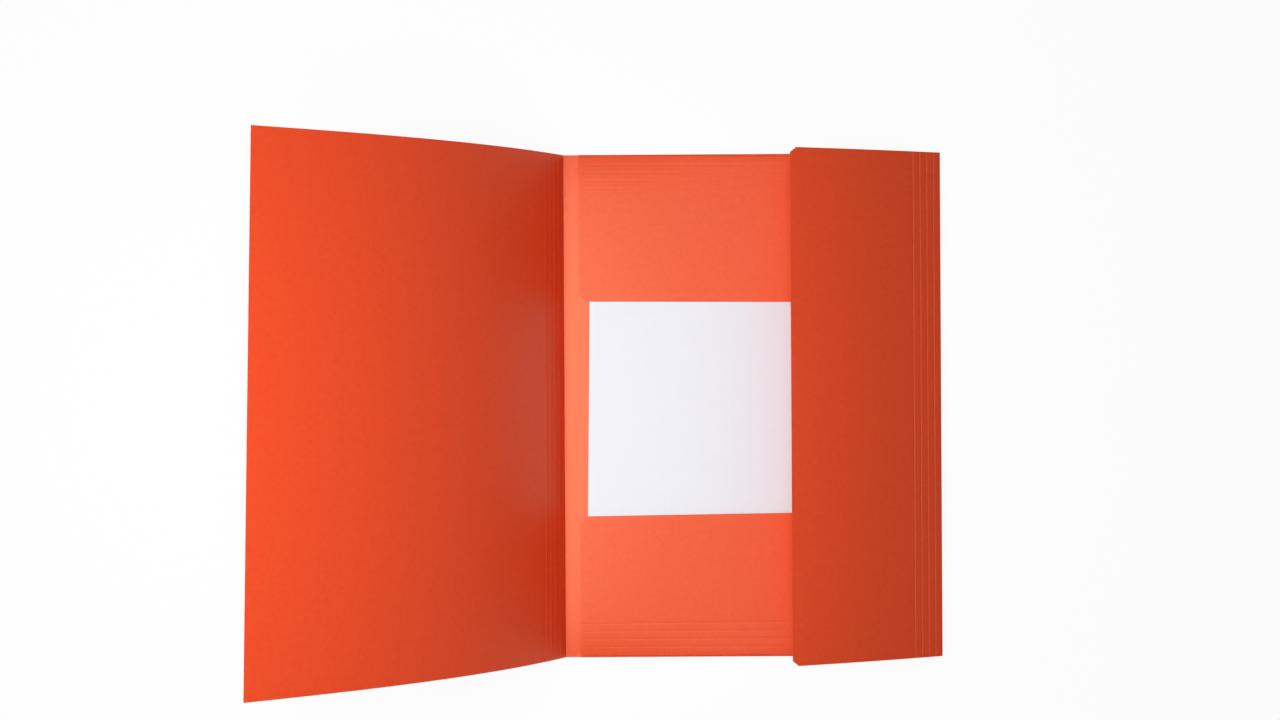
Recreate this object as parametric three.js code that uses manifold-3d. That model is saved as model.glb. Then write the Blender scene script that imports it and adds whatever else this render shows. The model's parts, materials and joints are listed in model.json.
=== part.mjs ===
// Three-flap document folder of through-dyed card, open on a table, with a thin
// stack of paper in it. The back panel carries the top and bottom flaps, folded in
// over the paper. The side flap stands part open on the right fold and the front
// cover stands open on the left fold, both bowed as fresh creased card is.
// Millimetres, +Z up. The origin is the middle of the back panel's underside,
// +X points to the side flap and +Y to the top flap.

import * as THREE from 'three';
import { mergeVertices } from 'three/addons/utils/BufferGeometryUtils.js';
import Module from 'manifold-3d';

// Paper that the folder is made for, and the stack in it
const sheetWidth = 210;
const sheetHeight = 297;
const sheetThickness = 0.1;
const sheetCount = 20;
const stackSkewDegrees = -0.75;
const stackShift = 1;

// Card blank
const cardThickness = 0.4;
const sideMargin = 15;
const endMargin = 11.5;
const flapInset = 10;
const topFlapDepth = 94.5;
const bottomFlapDepth = 90;
const sideFlapDepth = 106;
const cornerCutAlong = 4;
const cornerCutAcross = 5;

// Parallel creases beside every fold, for a thicker stack
const creaseCount = 4;
const creasePitch = 5;
const creaseWidth = 1.2;
const creaseDepth = 0.2;

// Writing lines pressed into the outside of the cover
const ruleCount = 7;
const rulePitch = 10;
const ruleFromTop = 40;
const ruleFromFold = 57;
const ruleLength = 162;
const ruleWidth = 0.9;
const ruleDepth = 0.14;

// Folds and bows
const clearance = 0.3;
const foldRadius = 0.75;
const coverCurlRadius = 3;
const coverCurlDegrees = 55;
const flapCurlDegrees = 50;
const coverRootDegrees = 62.5;
const coverTipDegrees = 34.5;
const coverBowPower = 2.2;
const coverTwistDegrees = 1.1;
const sideFlapRootDegrees = 25;
const sideFlapTipDegrees = 19;
const bottomFlapLift = 1.3;
const bottomFlapLiftSkew = 0.8;
const archHeight = 1.8;
const archTail = 35;
const archEndPower = 8;

// Fineness of the bent surfaces
const pathStep = 0.1;
const curlSteps = 5;
const foldSteps = 8;
const coverBowSteps = 16;
const sideFlapBowSteps = 8;
const flapSteps = 8;
const twistSteps = 8;
const archTailSteps = 6;
const archLengthSteps = 12;

// Sizes that follow
const panelWidth = sheetWidth + 2 * sideMargin;
const panelHeight = sheetHeight + 2 * endMargin;
const halfCard = cardThickness / 2;
const stackThickness = sheetCount * sheetThickness;
const stackBottom = cardThickness + clearance;
const flapLevel = stackBottom + stackThickness + clearance + halfCard;
const hingeGap = halfCard + clearance;
const foldTuck = creasePitch;
const radians = THREE.MathUtils.degToRad;

const cardMaterial = new THREE.MeshStandardMaterial({ color: '#f05a30', roughness: 0.85, metalness: 0 });
const paperMaterial = new THREE.MeshStandardMaterial({ color: '#f6f5fb', roughness: 0.8, metalness: 0 });

// Run and rise of a sheet bent in one plane, after a length along it
function followBend(angleAt, length) {
  const steps = Math.max(1, Math.ceil(length / pathStep));
  const step = length / steps;
  let run = 0;
  let rise = 0;
  for (let i = 0; i < steps; i++) {
    const angle = angleAt((i + 0.5) * step);
    run += Math.cos(angle) * step;
    rise += Math.sin(angle) * step;
  }
  return { run, rise, angle: angleAt(length) };
}

// Sorted places from first to last: even steps, plus the extra ones given
function stations(first, last, steps, extra = []) {
  const even = Array.from({ length: steps + 1 }, (_, i) => first + ((last - first) * i) / steps);
  const nearExtra = (value) => extra.some((e) => Math.abs(e - value) < creaseWidth);
  const kept = even.filter((value, i) => i === 0 || i === steps || !nearExtra(value));
  return [...kept, ...extra].sort((a, b) => a - b);
}

// Lines of the creases that run beside a fold
function creaseLines(fold) {
  return Array.from({ length: creaseCount }, (_, i) => fold + (i + 1) * creasePitch);
}

// A line becomes three stations, so that its groove has two walls
function grooveStations(lines, width) {
  return lines.flatMap((line) => [line - width / 2, line, line + width / 2]);
}

function isOnLine(value, lines) {
  return lines.some((line) => Math.abs(line - value) < 1e-6);
}

// Flat strip of card, along by across by its thickness, moved point by point to its
// folded place. place(along, across, side) gives the point on the face at side, which
// is 1 on the face that along x across points out of and -1 on the other.
function bentSheet(alongStations, acrossStations, place) {
  const alongSteps = alongStations.length - 1;
  const acrossSteps = acrossStations.length - 1;
  const geometry = new THREE.BoxGeometry(1, 1, 1, alongSteps, acrossSteps, 1);
  const position = geometry.attributes.position;
  for (let i = 0; i < position.count; i++) {
    const along = alongStations[Math.round((position.getX(i) + 0.5) * alongSteps)];
    const across = acrossStations[Math.round((position.getY(i) + 0.5) * acrossSteps)];
    const point = place(along, across, Math.sign(position.getZ(i)));
    position.setXYZ(i, point.x, point.y, point.z);
  }
  return geometry;
}

// Half the width of a blank whose two corners at the free edge are cut off
function cutCornerHalf(half, depth, along) {
  const cut = Math.max(0, (along - (depth - cornerCutAlong)) / cornerCutAlong);
  return half - cut * cornerCutAcross;
}

function clampTo(half, value) {
  return Math.max(-half, Math.min(half, value));
}

// Fusing with manifold-3d
const wasm = await Module();
wasm.setup();

function toSolid(geometry) {
  const bare = geometry.clone();
  bare.deleteAttribute('normal');
  bare.deleteAttribute('uv');
  const merged = mergeVertices(bare);
  return new wasm.Manifold(new wasm.Mesh({
    numProp: 3,
    vertProperties: new Float32Array(merged.attributes.position.array),
    triVerts: new Uint32Array(merged.index.array),
  }));
}

function toGeometry(solid) {
  const mesh = solid.getMesh();
  const geometry = new THREE.BufferGeometry();
  geometry.setAttribute('position', new THREE.BufferAttribute(mesh.vertProperties, 3));
  geometry.setIndex(new THREE.BufferAttribute(mesh.triVerts, 1));
  geometry.computeVertexNormals();
  return geometry;
}

// A curl is where the panel turns up into a side fold: an arc that ends just short of
// the fold line, on a given run from the flat
function curlOf(radius, degrees) {
  const angle = radians(degrees);
  return {
    radius,
    angle,
    length: radius * angle,
    run: radius * Math.sin(angle) + hingeGap * Math.cos(angle),
    rise: radius * (1 - Math.cos(angle)) + hingeGap * Math.sin(angle),
  };
}

const coverCurl = curlOf(coverCurlRadius, coverCurlDegrees);
const flapCurlRun = flapInset - creaseWidth;
const flapCurlRadius = (flapCurlRun - hingeGap * Math.cos(radians(flapCurlDegrees)))
  / Math.sin(radians(flapCurlDegrees));
const flapCurl = curlOf(flapCurlRadius, flapCurlDegrees);

const coverFold = new THREE.Vector3(-panelWidth / 2, 0, halfCard + coverCurl.rise);
const sideFold = new THREE.Vector3(panelWidth / 2, 0, halfCard + flapCurl.rise);

// The panel arches a little beside the cover's fold, and the stack and the end flaps
// rise with it. The arch climbs from the fold to the stack's edge, runs out under the
// stack and ends short of the top and bottom folds.
const archFoot = -panelWidth / 2 + coverCurl.run;
const archCrest = -sheetWidth / 2 + stackShift;
const archStations = stations(archCrest, archCrest + archTail, archTailSteps);

function archAt(x, y) {
  const climb = Math.max(0, (x - archFoot) / (archCrest - archFoot));
  const tail = Math.min(1, (x - archCrest) / archTail);
  const along = x < archCrest ? climb : (1 + Math.cos(Math.PI * tail)) / 2;
  const towardsEnd = Math.min(1, Math.abs(y) / (panelHeight / 2 - foldTuck));
  return archHeight * along * (1 - towardsEnd ** archEndPower);
}

// Back panel: flat on the table, arched beside the cover's fold and curled up along
// both side folds
function makePanel() {
  const flatStart = archFoot;
  const flatEnd = panelWidth / 2 - flapCurl.run;
  const leftStations = stations(flatStart - coverCurl.length, flatStart, curlSteps);
  const rightStations = stations(flatEnd, flatEnd + flapCurl.length, curlSteps);

  function place(along, across, side) {
    const left = along < flatStart;
    const start = left ? flatStart : flatEnd;
    const curl = left ? coverCurl : flapCurl;
    const past = left ? flatStart - along : Math.max(0, along - flatEnd);
    const outward = left ? -1 : 1;
    const angle = past / curl.radius;
    const flat = angle === 0 ? along : start;
    return new THREE.Vector3(
      flat + outward * (curl.radius - side * halfCard) * Math.sin(angle),
      across,
      halfCard + curl.radius - (curl.radius - side * halfCard) * Math.cos(angle) + archAt(flat, across),
    );
  }

  const end = panelHeight / 2;
  const arched = stations(foldTuck - end, end - foldTuck, archLengthSteps);
  return bentSheet([...leftStations, ...archStations, ...rightStations], [-end, ...arched, end], place);
}

// A flap folded in at one end of the panel: round the fold, up a ramp beside the stack
// and in over it. turn is 1 at the +Y end and -1 at the other. The free edge may stand
// off the paper, more at its +X end than at the other.
function makeEndFlap(turn, depth, lift, liftSkew) {
  const foldLength = Math.PI * foldRadius;
  const skewReach = Math.abs(Math.sin(radians(stackSkewDegrees))) * sheetWidth / 2;
  const rampRun = endMargin - foldRadius - halfCard - skewReach - clearance;
  const rampRise = flapLevel - halfCard - 2 * foldRadius;
  const rampAngle = Math.atan2(rampRise, rampRun);
  const foldEnd = foldTuck + foldLength;
  const rampEnd = foldEnd + Math.hypot(rampRise, rampRun);
  const tip = foldTuck + depth;
  const half = panelWidth / 2 - flapInset;
  const creases = creaseLines(foldEnd);
  const lastCrease = creases[creases.length - 1] + creaseWidth;

  function angleAt(along) {
    if (along < foldTuck) return 0;
    if (along < foldEnd) return (along - foldTuck) / foldRadius;
    return along < rampEnd ? Math.PI - rampAngle : Math.PI;
  }

  function place(along, across, side) {
    const bend = followBend(angleAt, along);
    const offset = side * halfCard - (isOnLine(along, creases) ? creaseDepth : 0);
    const x = turn * clampTo(cutCornerHalf(half, tip, along), across);
    const y = turn * (panelHeight / 2 - halfCard - foldRadius - foldTuck + bend.run);
    const raised = Math.max(0, (along - lastCrease) / (tip - lastCrease)) ** 2;
    return new THREE.Vector3(
      x,
      y + turn * offset * Math.sin(bend.angle),
      halfCard + bend.rise - offset * Math.cos(bend.angle)
        + raised * (lift + liftSkew * x / half) + archAt(x, y),
    );
  }

  const alongStations = [
    0,
    ...stations(foldTuck, foldEnd, foldSteps),
    ...stations(foldEnd + creaseWidth, tip - cornerCutAlong, flapSteps, grooveStations(creases, creaseWidth)),
    tip,
  ];
  const acrossStations = [-half, ...archStations, half].map((x) => turn * x).sort((a, b) => a - b);
  return bentSheet(alongStations, acrossStations, place);
}

function makeBackPanel() {
  const topFlap = toSolid(makeEndFlap(1, topFlapDepth, 0, 0));
  const bottomFlap = toSolid(makeEndFlap(-1, bottomFlapDepth, bottomFlapLift, bottomFlapLiftSkew));
  return toGeometry(toSolid(makePanel()).add(topFlap).add(bottomFlap));
}

// The stack of paper, a little askew on the panel
function makeStack() {
  const skew = radians(stackSkewDegrees);

  function place(along, across, side) {
    const x = stackShift + along * Math.cos(skew) - across * Math.sin(skew);
    const y = along * Math.sin(skew) + across * Math.cos(skew);
    return new THREE.Vector3(x, y, stackBottom + stackThickness * (side + 1) / 2 + archAt(x, y));
  }

  const left = -sheetWidth / 2;
  const alongStations = [...stations(left, left + archTail, archTailSteps), sheetWidth / 2];
  return bentSheet(alongStations, stations(-sheetHeight / 2, sheetHeight / 2, archLengthSteps), place);
}

// Front cover, from the left fold outwards. Its face with along x across is the outside.
function makeFrontCover() {
  const width = panelWidth;
  const half = panelHeight / 2;
  const creases = creaseLines(0);
  const rules = Array.from({ length: ruleCount }, (_, i) => half - ruleFromTop - i * rulePitch);
  const ruleStart = ruleFromFold;
  const ruleEnd = ruleFromFold + ruleLength;

  function place(along, across, side) {
    const angleAt = (s) => radians(coverTipDegrees
      + (coverRootDegrees - coverTipDegrees) * Math.max(0, 1 - s / width) ** coverBowPower
      + coverTwistDegrees * across / half);
    const bend = followBend(angleAt, along);
    const ruled = side > 0 && isOnLine(across, rules) && along >= ruleStart && along <= ruleEnd;
    const offset = side * halfCard - (isOnLine(along, creases) ? creaseDepth : 0) - (ruled ? ruleDepth : 0);
    return new THREE.Vector3(
      -bend.run - offset * Math.sin(bend.angle),
      across,
      bend.rise - offset * Math.cos(bend.angle),
    );
  }

  const ruleEnds = [ruleStart - ruleWidth, ruleStart, ruleEnd, ruleEnd + ruleWidth];
  const alongStations = stations(0, width, coverBowSteps, [...grooveStations(creases, creaseWidth), ...ruleEnds]);
  const acrossStations = stations(-half, half, twistSteps, grooveStations(rules, ruleWidth));
  return bentSheet(alongStations, acrossStations, place);
}

// Side flap, from the right fold inwards. Its face with along x across is the one that
// lies on the paper.
function makeSideFlap() {
  const half = panelHeight / 2;
  const creases = creaseLines(0);
  const angleAt = (s) => radians(sideFlapRootDegrees + (sideFlapTipDegrees - sideFlapRootDegrees) * s / sideFlapDepth);

  function place(along, across, side) {
    const bend = followBend(angleAt, along);
    const offset = side * halfCard + (isOnLine(along, creases) ? creaseDepth : 0);
    return new THREE.Vector3(
      -bend.run - offset * Math.sin(bend.angle),
      clampTo(cutCornerHalf(half, sideFlapDepth, along), across),
      bend.rise - offset * Math.cos(bend.angle),
    );
  }

  const extra = [...grooveStations(creases, creaseWidth), sideFlapDepth - cornerCutAlong];
  return bentSheet(stations(0, sideFlapDepth, sideFlapBowSteps, extra), [-half, half], place);
}

function addPart(group, name, geometry, material) {
  const mesh = new THREE.Mesh(geometry, material);
  mesh.name = name;
  group.add(mesh);
  return mesh;
}

const folder = new THREE.Group();

addPart(folder, 'back_panel', makeBackPanel(), cardMaterial);

const cover = addPart(folder, 'front_cover', makeFrontCover(), cardMaterial);
cover.position.copy(coverFold);

const sideFlap = addPart(folder, 'side_flap', makeSideFlap(), cardMaterial);
sideFlap.position.copy(sideFold);

addPart(folder, 'document_sheets', makeStack(), paperMaterial);

export default folder;
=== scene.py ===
import json
import math
import random

import bmesh
import bpy
from mathutils import Matrix, Vector


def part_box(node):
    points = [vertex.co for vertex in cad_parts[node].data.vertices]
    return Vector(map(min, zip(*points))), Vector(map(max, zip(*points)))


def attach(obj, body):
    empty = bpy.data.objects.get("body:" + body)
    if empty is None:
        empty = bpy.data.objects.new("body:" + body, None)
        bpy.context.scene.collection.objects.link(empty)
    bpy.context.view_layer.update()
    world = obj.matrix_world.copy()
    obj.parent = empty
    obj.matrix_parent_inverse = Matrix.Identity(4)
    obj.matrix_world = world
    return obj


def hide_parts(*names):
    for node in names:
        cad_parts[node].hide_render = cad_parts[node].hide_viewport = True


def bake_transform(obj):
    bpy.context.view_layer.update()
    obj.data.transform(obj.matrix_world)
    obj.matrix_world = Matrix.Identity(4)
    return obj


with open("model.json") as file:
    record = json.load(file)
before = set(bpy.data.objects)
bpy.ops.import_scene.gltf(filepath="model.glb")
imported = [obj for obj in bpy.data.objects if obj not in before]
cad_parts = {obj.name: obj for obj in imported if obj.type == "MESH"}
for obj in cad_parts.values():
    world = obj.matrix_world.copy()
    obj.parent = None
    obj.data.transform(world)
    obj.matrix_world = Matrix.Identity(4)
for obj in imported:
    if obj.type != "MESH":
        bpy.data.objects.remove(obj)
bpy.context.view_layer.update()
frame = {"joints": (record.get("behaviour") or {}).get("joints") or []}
mm = 0.001

# both hinged folds and the panel's half sizes come from the frame
jointPlace = {joint["name"]: Vector(joint["pos_m"]) for joint in frame["joints"]}
coverFold = jointPlace["cover_fold"]
sideFold = jointPlace["side_flap_fold"]
panelHalfWidth = sideFold.x
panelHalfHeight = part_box("front_cover")[1].y
print("frame loaded")

card = {
    "thickness": 0.4 * mm,
    "clearance": 0.3 * mm,
    "creases": 4,  # beside each fold, on its flap or cover side
    "creasePitch": 5 * mm,
    "creaseWidth": 1.2 * mm,
    "cornerCutAlong": 4 * mm,
    "cornerCutAcross": 5 * mm,
    "meshStep": 5 * mm,
}
halfCard = card["thickness"] / 2
hingeGap = halfCard + card["clearance"]
sharpAngle = math.radians(55)  # an edge that turns more than this stays crisp
slack = 1e-7  # metres; a vertex this near to a mesh line lies on it

# the panel arches a little beside the cover's fold, and carries the sheets and flaps
arch = {
    "height": 1.8 * mm,
    "foot": -119.28 * mm,
    "crest": -104 * mm,
    "tail": 110 * mm,  # length over which it fades out to the right of the crest
    "endPower": 14,  # high, so it only fades out close to the top and bottom edges
    "endMargin": 2 * mm,
}


def archAt(x, y, climbs=True):
    # what lies on the arch, such as the sheets, stays level left of its crest
    if x > arch["crest"]:
        along = (1 + math.cos(math.pi * min(1.0, (x - arch["crest"]) / arch["tail"]))) / 2
    elif climbs:
        along = max(0.0, (x - arch["foot"]) / (arch["crest"] - arch["foot"]))
    else:
        along = 1
    towardsEnd = min(1.0, abs(y) / (panelHalfHeight - arch["endMargin"]))
    return arch["height"] * along * (1 - towardsEnd ** arch["endPower"])


def fillLines(hardLines, step):
    # every hard line, and even steps no longer than step between each two of them
    rounding = 1e-6
    lines = sorted(set(hardLines))
    filled = [lines[0]]
    for last, line in zip(lines, lines[1:]):
        count = max(1, math.ceil((line - last) / step - rounding))
        filled += [last + (line - last) * i / count for i in range(1, count + 1)]
    return filled


def pressLines(lines, width):
    # mesh lines across each pressed line, from side to side
    offsets = (-0.75, -0.5, -0.25, 0, 0.25, 0.5, 0.75)
    return [line + width * offset for line in lines for offset in offsets]


def pressAt(value, lines, width, depth):
    # depth of a rounded groove, at a place across it
    near = min(abs(value - line) for line in lines)
    return depth * (1 + math.cos(2 * math.pi * near / width)) / 2 if near < width / 2 else 0.0


def creasesFrom(fold):
    return [fold + card["creasePitch"] * (i + 1) for i in range(card["creases"])]


def alongBend(length, radius, bendLength):
    # run, rise and angle at a length along card that bends up and then goes on straight
    angle = min(length, bendLength) / radius
    straight = max(0.0, length - bendLength)
    run = radius * math.sin(angle) + straight * math.cos(angle)
    rise = radius * (1 - math.cos(angle)) + straight * math.sin(angle)
    return run, rise, angle


def gridOn(xLines, yLines):
    # a flat blank whose mesh follows the lines
    blank = bmesh.new()
    bmesh.ops.create_grid(blank, x_segments=len(xLines) - 1, y_segments=len(yLines) - 1, size=0.5)
    for vert in blank.verts:
        vert.co.x = xLines[round((vert.co.x + 0.5) * (len(xLines) - 1))]
        vert.co.y = yLines[round((vert.co.y + 0.5) * (len(yLines) - 1))]
    return blank


def cutCorner(blank, corner, sizeX, sizeY):
    # trims one corner of the blank; sizeX and sizeY point back into the card
    onX = Vector((corner.x + sizeX, corner.y, 0))
    onY = Vector((corner.x, corner.y + sizeY, 0))
    outward = (onX - onY).cross(Vector((0, 0, 1)))
    if outward.dot(Vector((corner.x, corner.y, 0)) - onX) < 0:
        outward.negate()
    near = [face for face in blank.faces
            if (face.calc_center_median() - (onX + onY) / 2).length < abs(sizeX) + abs(sizeY)]
    parts = near + list({part for face in near for part in (*face.edges, *face.verts)})
    bmesh.ops.bisect_plane(blank, geom=parts, plane_co=onX, plane_no=outward, clear_outer=True)


def thicken(blank):
    # gives the flat blank its thickness, with its mid-surface at height 0
    bmesh.ops.solidify(blank, geom=blank.faces[:], thickness=card["thickness"])
    middle = (min(v.co.z for v in blank.verts) + max(v.co.z for v in blank.verts)) / 2
    bmesh.ops.translate(blank, vec=(0, 0, -middle), verts=blank.verts[:])
    bmesh.ops.recalc_face_normals(blank, faces=blank.faces[:])


def finishPiece(name, blank, material):
    mesh = bpy.data.meshes.new(name)
    blank.to_mesh(mesh)
    blank.free()
    for face in mesh.polygons:
        face.use_smooth = True
    mesh.set_sharp_from_angle(angle=sharpAngle)
    piece = bpy.data.objects.new(name, mesh)
    bpy.context.scene.collection.objects.link(piece)
    mesh.materials.append(material)
    return piece


def srgb(hexColour):
    # a linear colour from an sRGB hex value
    parts = [int(hexColour[i:i + 2], 16) / 255 for i in (1, 3, 5)]
    linear = [c / 12.92 if c <= 0.04045 else ((c + 0.055) / 1.055) ** 2.4 for c in parts]
    return (*linear, 1)


def addNode(tree, kind, settings=None, sockets=None):
    # a node with its settings; a socket takes a value or another node's output
    node = tree.nodes.new(kind)
    for key, value in (settings or {}).items():
        setattr(node, key, value)
    for key, value in (sockets or {}).items():
        if isinstance(value, bpy.types.NodeSocket):
            tree.links.new(value, node.inputs[key])
        else:
            node.inputs[key].default_value = value
    return node


def newMaterial(name):
    material = bpy.data.materials.new(name)
    material.use_nodes = True
    tree = material.node_tree
    return material, tree, tree.nodes["Principled BSDF"]


# Through-dyed manila card, calendered: the pulp is dyed, so the cut edge has the colour
# of the face. Fibres clump into faint clouds a few millimetres wide, the face is matt,
# and the calender leaves it a weak, very soft gloss.
cardLook = {
    "dye": "#ee471f",
    "thinDye": "#e9411b",
    "deepDye": "#f34e24",
    "thinBelow": 0.3,  # of the noise, which runs from 0 to 1
    "deepAbove": 0.7,
    "cloud": 3.5 * mm,
    "fibre": 1.8 * mm,  # real fibres are finer; drawn as coarse as shows
    "fibreStretch": 2.2,
    "fibreShare": 0.55,
    "tooth": 0.02 * mm,
    "toothStrength": 0.6,
    "roughness": 0.45,
    "ior": 1.62,
    "glossTint": "#fff3c4",
}


def makeCardMaterial():
    material, tree, shader = newMaterial("throughDyedCard")
    flat = addNode(tree, "ShaderNodeAttribute",
                   {"attribute_type": "GEOMETRY", "attribute_name": "flatPlace"})
    grain = addNode(tree, "ShaderNodeMapping", {"vector_type": "POINT"},
                    {"Vector": flat.outputs["Vector"], "Scale": (cardLook["fibreStretch"], 1, 1)})
    clouds = addNode(tree, "ShaderNodeTexNoise", {"noise_dimensions": "3D"},
                     {"Vector": flat.outputs["Vector"], "Scale": 1 / cardLook["cloud"],
                      "Detail": 3, "Roughness": 0.6})
    fibres = addNode(tree, "ShaderNodeTexNoise", {"noise_dimensions": "3D"},
                     {"Vector": grain.outputs["Vector"], "Scale": 1 / cardLook["fibre"],
                      "Detail": 4, "Roughness": 0.7})
    both = addNode(tree, "ShaderNodeMix", {"data_type": "FLOAT"},
                   {"Factor": cardLook["fibreShare"], "A": clouds.outputs["Fac"],
                    "B": fibres.outputs["Fac"]})
    tint = addNode(tree, "ShaderNodeValToRGB", None, {"Fac": both.outputs["Result"]})
    ramp = tint.color_ramp
    thin, deep = ramp.elements
    thin.position, thin.color = cardLook["thinBelow"], srgb(cardLook["thinDye"])
    deep.position, deep.color = cardLook["deepAbove"], srgb(cardLook["deepDye"])
    middle = ramp.elements.new((cardLook["thinBelow"] + cardLook["deepAbove"]) / 2)
    middle.color = srgb(cardLook["dye"])
    tooth = addNode(tree, "ShaderNodeBump", None,
                    {"Strength": cardLook["toothStrength"], "Distance": cardLook["tooth"],
                     "Height": fibres.outputs["Fac"]})
    tree.links.new(tint.outputs["Color"], shader.inputs["Base Color"])
    tree.links.new(tooth.outputs["Normal"], shader.inputs["Normal"])
    shader.inputs["Roughness"].default_value = cardLook["roughness"]
    shader.inputs["IOR"].default_value = cardLook["ior"]
    shader.inputs["Specular Tint"].default_value = srgb(cardLook["glossTint"])
    return material


# Wood-free copier paper, machine finished: bright with a cool optical whitener, matt,
# with a cloudiness that hardly shows
paperLook = {
    "white": "#ecf2f9",
    "cloudWhite": "#e8eef5",
    "cloud": 4 * mm,
    "tooth": 0.01 * mm,
    "toothStrength": 0.5,
    "roughness": 0.7,
    "ior": 1.5,
}


def makePaperMaterial():
    material, tree, shader = newMaterial("copierPaper")
    place = addNode(tree, "ShaderNodeTexCoord")
    clouds = addNode(tree, "ShaderNodeTexNoise", {"noise_dimensions": "3D"},
                     {"Vector": place.outputs["Object"], "Scale": 1 / paperLook["cloud"],
                      "Detail": 4, "Roughness": 0.6})
    tint = addNode(tree, "ShaderNodeMix", {"data_type": "RGBA"},
                   {"Factor": clouds.outputs["Fac"], "A": srgb(paperLook["cloudWhite"]),
                    "B": srgb(paperLook["white"])})
    tooth = addNode(tree, "ShaderNodeBump", None,
                    {"Strength": paperLook["toothStrength"], "Distance": paperLook["tooth"],
                     "Height": clouds.outputs["Fac"]})
    tree.links.new(tint.outputs["Result"], shader.inputs["Base Color"])
    tree.links.new(tooth.outputs["Normal"], shader.inputs["Normal"])
    shader.inputs["Roughness"].default_value = paperLook["roughness"]
    shader.inputs["IOR"].default_value = paperLook["ior"]
    return material


cardMaterial = makeCardMaterial()
paperMaterial = makePaperMaterial()
print("materials made")

# Cover, back panel and end flaps: one blank. On it x and y are those of the panel as it
# lies open, and height is 0 at the card's mid-surface and rises to its inside face.
folder = {
    "coverWidth": 239.3 * mm,
    "coverRoot": 60.7,  # degrees above the table, at the fold and at the free edge
    "coverTip": 34.6,
    "coverBow": 1.6,  # power; above 1, the cover bends most near its fold
    "coverTwist": 1.27,  # degrees each way, at its top and bottom edges
    "coverCreaseDepth": 0.18 * mm,
    "blendHalf": 0.6 * mm,  # half the width of card that bends as the cover turns
    "curlRadius": 0.5 * mm,  # of the bend in the panel that leads up to the cover's fold
    "curlDegrees": 80,
    "curlSteps": 6,
    "sideCurlRun": 8.8 * mm,  # of the panel's right edge that belongs to the side flap's piece
    "flapInset": 10.5 * mm,
    "foldSteps": 10,
    "topFlapDepth": 96.5 * mm,
    "topFlapSkew": 0.4,  # degrees, between a flap's free edge and its fold
    "bottomFlapDepth": 93 * mm,
    "bottomFlapSkew": 0.65,
    "flapCreaseDepth": 0.06 * mm,
    "bottomLift": 1.3 * mm,  # of the bottom flap's free edge off the paper
    "bottomLiftSkew": 0.8 * mm,
    "flapLevel": 3.2 * mm,  # of a flap's mid-surface, on the stack
}
ruling = {  # the writing lines pressed into the cover's outside
    "lines": 7,
    "pitch": 10 * mm,
    "fromTop": 40 * mm,
    "fromFold": 57 * mm,
    "length": 162 * mm,
    "width": 0.9 * mm,
    "depth": 0.14 * mm,
}

curlAngle = math.radians(folder["curlDegrees"])
curlLength = folder["curlRadius"] * curlAngle
curlRise = folder["curlRadius"] * (1 - math.cos(curlAngle))
curlStraight = (coverFold.z - halfCard - curlRise) / math.sin(curlAngle)
curlFoot = (-panelHalfWidth + folder["curlRadius"] * math.sin(curlAngle)
            + curlStraight * math.cos(curlAngle))
foldLine = curlFoot - curlLength - curlStraight
flapHalf = panelHalfWidth - folder["flapInset"]
panelSeam = panelHalfWidth - folder["sideCurlRun"]
foldRadius = (folder["flapLevel"] - halfCard) / 2
endFoldLine = panelHalfHeight - halfCard - foldRadius
endFoldLength = math.pi * foldRadius
coverCreases = [foldLine - crease for crease in creasesFrom(0)]
flapCreases = creasesFrom(endFoldLength)
rules = [panelHalfHeight - ruling["fromTop"] - ruling["pitch"] * i for i in range(ruling["lines"])]
ruleStart = foldLine - ruling["fromFold"]
ruleEnd = ruleStart - ruling["length"]


def walkCover(steps=480):
    # run, rise and angle of the bowed cover, at even lengths from its fold
    step = folder["coverWidth"] / steps
    run = rise = 0.0
    path = []
    for i in range(steps + 1):
        angle = math.radians(folder["coverTip"] + (folder["coverRoot"] - folder["coverTip"])
                             * (1 - i / steps) ** folder["coverBow"])
        path.append((run, rise, angle))
        run += math.cos(angle) * step
        rise += math.sin(angle) * step
    return path


coverPath = walkCover()


def coverPlace(length, y, height):
    # length runs from the fold line to the cover's free edge
    place = length / folder["coverWidth"] * (len(coverPath) - 1)
    first = min(int(place), len(coverPath) - 2)
    run, rise, angle = (a + (b - a) * (place - first)
                        for a, b in zip(coverPath[first], coverPath[first + 1]))
    twist = math.radians(folder["coverTwist"] * y / panelHalfHeight)
    swung = Matrix.Rotation(twist, 2) @ Vector((run, rise))
    angle += twist
    return coverFold + Vector((-swung.x + height * math.sin(angle), y,
                               swung.y + height * math.cos(angle)))


def curlPlace(length, y, height):
    # length runs from the curl's foot, where the panel's flat ends, to the fold line
    run, rise, angle = alongBend(length, folder["curlRadius"], curlLength)
    return Vector((curlFoot - run + height * math.sin(angle), y,
                   halfCard + rise + height * math.cos(angle)))


def endFlapPlace(x, y, height):
    turn, flap = (1, "topFlap") if y > 0 else (-1, "bottomFlap")
    length = abs(y) - endFoldLine
    run, rise, angle = alongBend(length, foldRadius, endFoldLength)
    skewRun = math.tan(math.radians(folder[flap + "Skew"])) * (x + flapHalf)
    run -= skewRun * max(0.0, length - endFoldLength) / folder[flap + "Depth"]
    lift = 0.0
    if turn < 0:
        lastCrease = flapCreases[-1] + card["creaseWidth"]
        raised = max(0.0, (length - lastCrease) / (folder["bottomFlapDepth"] - lastCrease)) ** 2
        lift = raised * (folder["bottomLift"] + folder["bottomLiftSkew"] * x / flapHalf)
    placeY = turn * (endFoldLine + run - height * math.sin(angle))
    return Vector((x, placeY, halfCard + rise + height * math.cos(angle) + lift
                   + archAt(x, placeY, climbs=length <= 0)))


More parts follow.
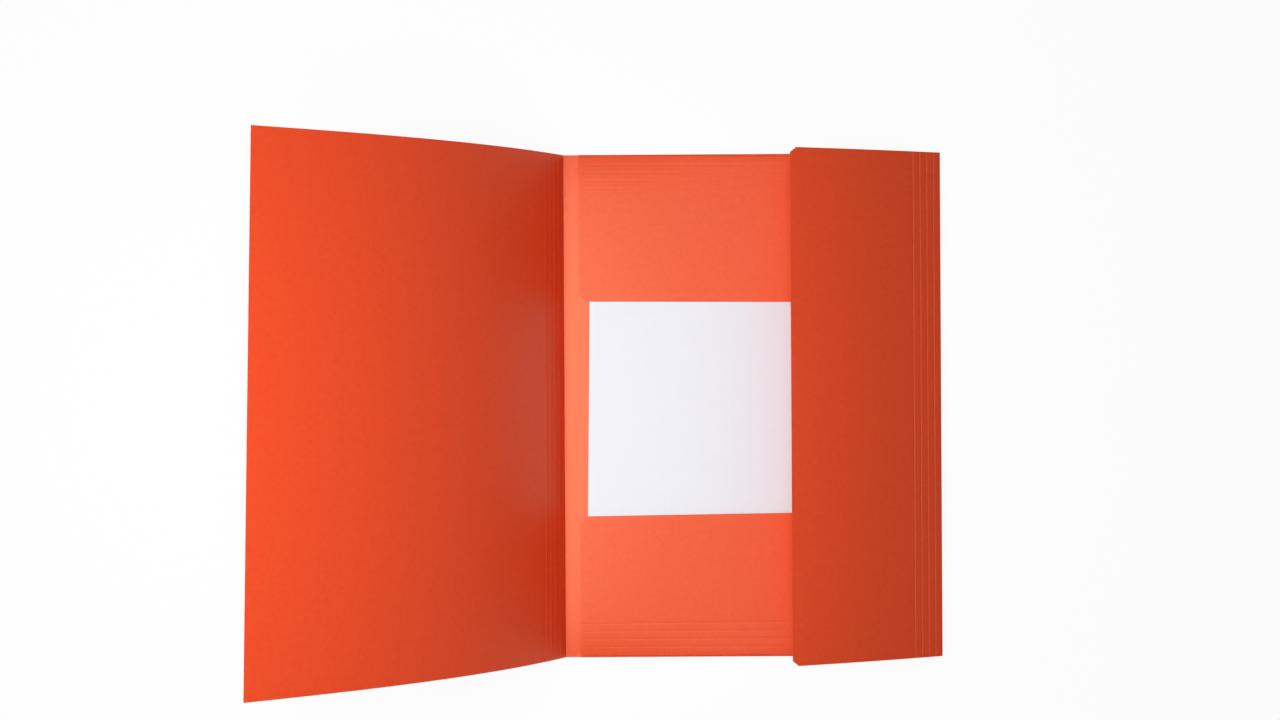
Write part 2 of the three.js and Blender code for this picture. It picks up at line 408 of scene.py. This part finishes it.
def makeFolderCard():
    tipX = foldLine - folder["coverWidth"]
    topTip = endFoldLine + folder["topFlapDepth"]
    bottomTip = endFoldLine + folder["bottomFlapDepth"]
    coverLines = fillLines([tipX, ruleEnd - ruling["width"], ruleEnd, ruleStart,
                            ruleStart + ruling["width"],
                            *pressLines(coverCreases, card["creaseWidth"]),
                            foldLine - folder["blendHalf"], foldLine], card["meshStep"])
    curlLines = [foldLine + curlStraight + curlLength * i / folder["curlSteps"]
                 for i in range(folder["curlSteps"] + 1)]
    panelLines = fillLines([curlFoot, -flapHalf, arch["crest"], arch["crest"] + arch["tail"],
                            flapHalf, panelSeam], card["meshStep"])
    foldSteps = [endFoldLine + endFoldLength * i / folder["foldSteps"]
                 for i in range(folder["foldSteps"] + 1)]
    creaseSteps = pressLines([endFoldLine + crease for crease in flapCreases], card["creaseWidth"])
    half = [panelHalfHeight, *foldSteps, *creaseSteps]
    yLines = fillLines([*half, *(-y for y in half), topTip, -bottomTip,
                        *pressLines(rules, ruling["width"])], card["meshStep"])
    blank = gridOn(coverLines + curlLines + panelLines[1:], yLines)

    def outside(face):
        centre = face.calc_center_median()
        return abs(centre.y) > panelHalfHeight and abs(centre.x) > flapHalf

    bmesh.ops.delete(blank, geom=[face for face in blank.faces if outside(face)], context="FACES")
    for tip in (topTip, -bottomTip):
        inward = -math.copysign(card["cornerCutAlong"], tip)
        for side in (-1, 1):
            cutCorner(blank, Vector((side * flapHalf, tip, 0)),
                      -side * card["cornerCutAcross"], inward)

    # a slit parts each end flap's fold from the panel's corners
    slit = [edge for edge in blank.edges if len(edge.link_faces) == 2
            and all(abs(abs(vert.co.x) - flapHalf) < slack and abs(vert.co.y) > endFoldLine - slack
                    for vert in edge.verts)]
    bmesh.ops.split_edges(blank, edges=slit)
    thicken(blank)

    flatPlace = blank.verts.layers.float_vector.new("flatPlace")
    folded = []
    for vert in blank.verts:
        x, y, height = vert.co
        vert[flatPlace] = vert.co
        onFlap = abs(y) > endFoldLine + slack and all(
            abs(face.calc_center_median().x) < flapHalf + slack for face in vert.link_faces)
        if x < foldLine:
            height += pressAt(x, coverCreases, card["creaseWidth"], folder["coverCreaseDepth"])
            if height < 0 and ruleEnd - slack < x < ruleStart + slack:
                height += pressAt(y, rules, ruling["width"], ruling["depth"])
            folded.append(coverPlace(foldLine - x, y, height))
        elif x < curlFoot:
            folded.append(curlPlace(curlFoot - x, y, height))
        elif onFlap:
            height += pressAt(abs(y) - endFoldLine, flapCreases, card["creaseWidth"],
                              folder["flapCreaseDepth"])
            folded.append(endFlapPlace(x, y, height))
        else:
            folded.append(Vector((x, y, halfCard + height + archAt(x, y))))
    for vert, place in zip(blank.verts, folded):
        vert.co = place
    piece = finishPiece("folder_card", blank, cardMaterial)
    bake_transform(piece)
    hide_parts("back_panel", "front_cover")
    return piece


folderCard = makeFolderCard()
print("cover, panel and end flaps folded:", len(folderCard.data.polygons), "faces")

# Side flap: from its seam in the panel up a curl, round the fold and in over the paper
sideFlap = {
    "depth": 105.7 * mm,
    "cornerCutAcross": 3.2 * mm,
    "root": 25,  # degrees above the table, at the fold and at the free edge
    "tip": 19,
    "curlDegrees": 50,
    "curlStep": 1.2 * mm,
    "foldSoftness": 0.5 * mm,  # from the fold to the next mesh line on each side
    "foldMitre": 1.4,  # how much longer the cut through the card is at the fold
    "blendHalf": 0.35 * mm,
    "creaseDepth": 0.33 * mm,
}

sideCurlAngle = math.radians(sideFlap["curlDegrees"])
sideCurlRadius = ((folder["sideCurlRun"] - hingeGap * math.cos(sideCurlAngle))
                  / math.sin(sideCurlAngle))
sideCurlLength = sideCurlRadius * sideCurlAngle
sideFlapCreases = creasesFrom(0)


def sideFlapPlace(length, y, height):
    # length runs from the fold line, and is below zero on the panel's side of it
    if length < 0:
        run, rise, angle = alongBend(sideCurlLength + hingeGap + length,
                                     sideCurlRadius, sideCurlLength)
        return Vector((panelSeam + run - height * math.sin(angle), y,
                       halfCard + rise + height * math.cos(angle)))
    if length < slack:
        return sideFold + Vector((-height * sideFlap["foldMitre"], y, 0))
    root = math.radians(sideFlap["root"])
    bend = math.radians(sideFlap["tip"] - sideFlap["root"]) / sideFlap["depth"]
    angle = root + bend * length
    run = (math.sin(angle) - math.sin(root)) / bend
    rise = (math.cos(root) - math.cos(angle)) / bend
    return sideFold + Vector((-run - height * math.sin(angle), y,
                              rise - height * math.cos(angle)))


def makeSideFlap():
    seam = sideCurlLength + hingeGap
    soft = sideFlap["foldSoftness"]
    flapLines = (0, soft, *pressLines(sideFlapCreases, card["creaseWidth"]), sideFlap["depth"])
    xLines = fillLines([0, seam - soft], sideFlap["curlStep"])
    xLines += fillLines([seam + length for length in flapLines], card["meshStep"])
    yLines = fillLines([-panelHalfHeight, panelHalfHeight], card["meshStep"] * 2)
    blank = gridOn(xLines, yLines)
    for side in (-1, 1):
        cutCorner(blank, Vector((xLines[-1], side * panelHalfHeight, 0)),
                  -card["cornerCutAlong"], -side * sideFlap["cornerCutAcross"])
    thicken(blank)
    flatPlace = blank.verts.layers.float_vector.new("flatPlace")
    for vert in blank.verts:
        x, y, height = vert.co
        vert[flatPlace] = Vector((panelSeam + x, y, height))
        if x > seam:
            height += pressAt(x - seam, sideFlapCreases, card["creaseWidth"],
                              sideFlap["creaseDepth"])
        vert.co = sideFlapPlace(x - seam, y, height)
    piece = finishPiece("side_flap_card", blank, cardMaterial)
    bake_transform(piece)
    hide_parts("side_flap")
    return piece


sideFlapCard = makeSideFlap()
print("side flap folded:", len(sideFlapCard.data.polygons), "faces")

# Sheets of A4 paper, each a little out of line with the one below
stack = {
    "width": 210 * mm,
    "height": 297 * mm,
    "sheet": 0.1 * mm,  # from one sheet to the next
    "body": 0.92,  # share of that which is paper, so no two faces touch
    "rows": 24,
    "count": 20,
    "shift": 1.5 * mm,  # of the whole stack to the right, and its turn in degrees
    "skew": -0.75,
    "bottom": 0.7 * mm,
    "slide": 0.25 * mm,  # the most that a sheet strays, and turns in degrees
    "turn": 0.05,
    "seed": 7,
}


def makeSheets():
    shuffle = random.Random(stack["seed"])
    sheets = bmesh.new()
    left = -stack["width"] / 2
    xLines = fillLines([left, left + arch["tail"], stack["width"] / 2], 3 * card["meshStep"])
    yLines = fillLines([-stack["height"] / 2, stack["height"] / 2],
                       stack["height"] / stack["rows"])
    for i in range(stack["count"]):
        sheet = gridOn(xLines, yLines)
        bmesh.ops.solidify(sheet, geom=sheet.faces[:], thickness=stack["sheet"] * stack["body"])
        bmesh.ops.recalc_face_normals(sheet, faces=sheet.faces[:])
        low = min(vert.co.z for vert in sheet.verts)
        slide = Vector((shuffle.uniform(-1, 1), shuffle.uniform(-1, 1), 0)) * stack["slide"]
        degrees = stack["skew"] + shuffle.uniform(-1, 1) * stack["turn"]
        turn = Matrix.Rotation(math.radians(degrees), 3, "Z")
        level = stack["bottom"] + i * stack["sheet"] - low
        for vert in sheet.verts:
            vert.co = turn @ vert.co + slide
            vert.co.x += stack["shift"]
            vert.co.z += level + archAt(vert.co.x, vert.co.y, climbs=False)
        loose = bpy.data.meshes.new("sheet")
        sheet.to_mesh(loose)
        sheet.free()
        sheets.from_mesh(loose)
        bpy.data.meshes.remove(loose)
    piece = finishPiece("copier_sheets", sheets, paperMaterial)
    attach(piece, "back")
    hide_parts("document_sheets")


makeSheets()
print("sheets stacked:", stack["count"])

# Table, lamps and camera. The camera looks straight down from above the cover's root.
studio = {
    "tableHalf": 3.0,
    "tableDrop": 0.1 * mm,  # below the folder's underside
    "tableWhite": "#f7f7f7",
    "tableRoughness": 0.9,
    "tableGlow": 0.93,  # share of it that the camera sees as plain white
    "ambient": 0.25,
    "lamps": [  # name, place, aim, size, watts, spread in degrees
        ("keyLamp", (-0.45, 0.0, 0.85), (-0.2, 0.0, 0.0), (0.5, 0.5), 4.25, 180),
        ("coverLamp", (-0.3, 0.0, 0.7), (-0.2, 0.0, 0.0), (0.4, 0.4), 0.5, 90),
        ("fillLamp", (-0.03, 0.0, 0.9), (-0.03, 0.0, 0.0), (0.15, 0.4), 0.018, 12),
    ],
}
camera = {
    "height": 1.27,
    "above": (-71.05 * mm, 29.2 * mm),
    "roll": -0.32,  # degrees
    "pixelsPerMetre": 1567.5,  # at the table, in an image 1280 pixels wide
    "imageWidth": 1280,
    "sensor": 36,  # millimetres wide
}


def makeTable():
    table = bmesh.new()
    bmesh.ops.create_grid(table, x_segments=1, y_segments=1, size=studio["tableHalf"])
    bmesh.ops.translate(table, vec=(0, 0, -studio["tableDrop"]), verts=table.verts[:])
    mesh = bpy.data.meshes.new("table_top")
    table.to_mesh(mesh)
    table.free()
    top = bpy.data.objects.new("table_top", mesh)
    bpy.context.scene.collection.objects.link(top)
    material, tree, shader = newMaterial("paintedTable")
    shader.inputs["Base Color"].default_value = srgb(studio["tableWhite"])
    shader.inputs["Roughness"].default_value = studio["tableRoughness"]
    seen = addNode(tree, "ShaderNodeLightPath")
    glow = addNode(tree, "ShaderNodeEmission", None, {"Color": (1, 1, 1, 1), "Strength": 1})
    share = addNode(tree, "ShaderNodeMath", {"operation": "MULTIPLY"},
                    {0: seen.outputs["Is Camera Ray"], 1: studio["tableGlow"]})
    mixed = addNode(tree, "ShaderNodeMixShader", None,
                    {0: share.outputs[0], 1: shader.outputs["BSDF"], 2: glow.outputs["Emission"]})
    tree.links.new(mixed.outputs[0], tree.nodes["Material Output"].inputs["Surface"])
    mesh.materials.append(material)


def makeLamp(name, place, aim, size, watts, spread):
    data = bpy.data.lights.new(name, "AREA")
    data.shape = "RECTANGLE"
    data.size, data.size_y = size
    data.energy = watts
    data.spread = math.radians(spread)
    lamp = bpy.data.objects.new(name, data)
    lamp.location = place
    lamp.rotation_euler = (Vector(aim) - Vector(place)).to_track_quat("-Z", "Y").to_euler()
    lamp.visible_camera = False
    bpy.context.scene.collection.objects.link(lamp)


def makeCamera():
    data = bpy.data.cameras.new("camera")
    data.sensor_width = camera["sensor"]
    data.lens = (camera["pixelsPerMetre"] * camera["height"] / camera["imageWidth"]
                 * camera["sensor"])
    data.clip_start, data.clip_end = 0.01, 20
    view = bpy.data.objects.new("camera", data)
    view.location = (*camera["above"], camera["height"])
    view.rotation_euler = (0, 0, math.radians(camera["roll"]))
    bpy.context.scene.collection.objects.link(view)
    bpy.context.scene.camera = view


def makeWorld():
    # white where the camera sees it, and a weak light all round
    world = bpy.data.worlds.new("studio")
    world.use_nodes = True
    tree = world.node_tree
    sky = tree.nodes["Background"]
    sky.inputs["Color"].default_value = (1, 1, 1, 1)
    seen = addNode(tree, "ShaderNodeLightPath")
    strength = addNode(tree, "ShaderNodeMath", {"operation": "MULTIPLY_ADD"},
                       {0: seen.outputs["Is Camera Ray"], 1: 1 - studio["ambient"],
                        2: studio["ambient"]})
    tree.links.new(strength.outputs[0], sky.inputs["Strength"])
    bpy.context.scene.world = world


makeTable()
for lamp in studio["lamps"]:
    makeLamp(*lamp)
makeCamera()
makeWorld()
bpy.context.scene.view_settings.view_transform = "Standard"
print("studio set")
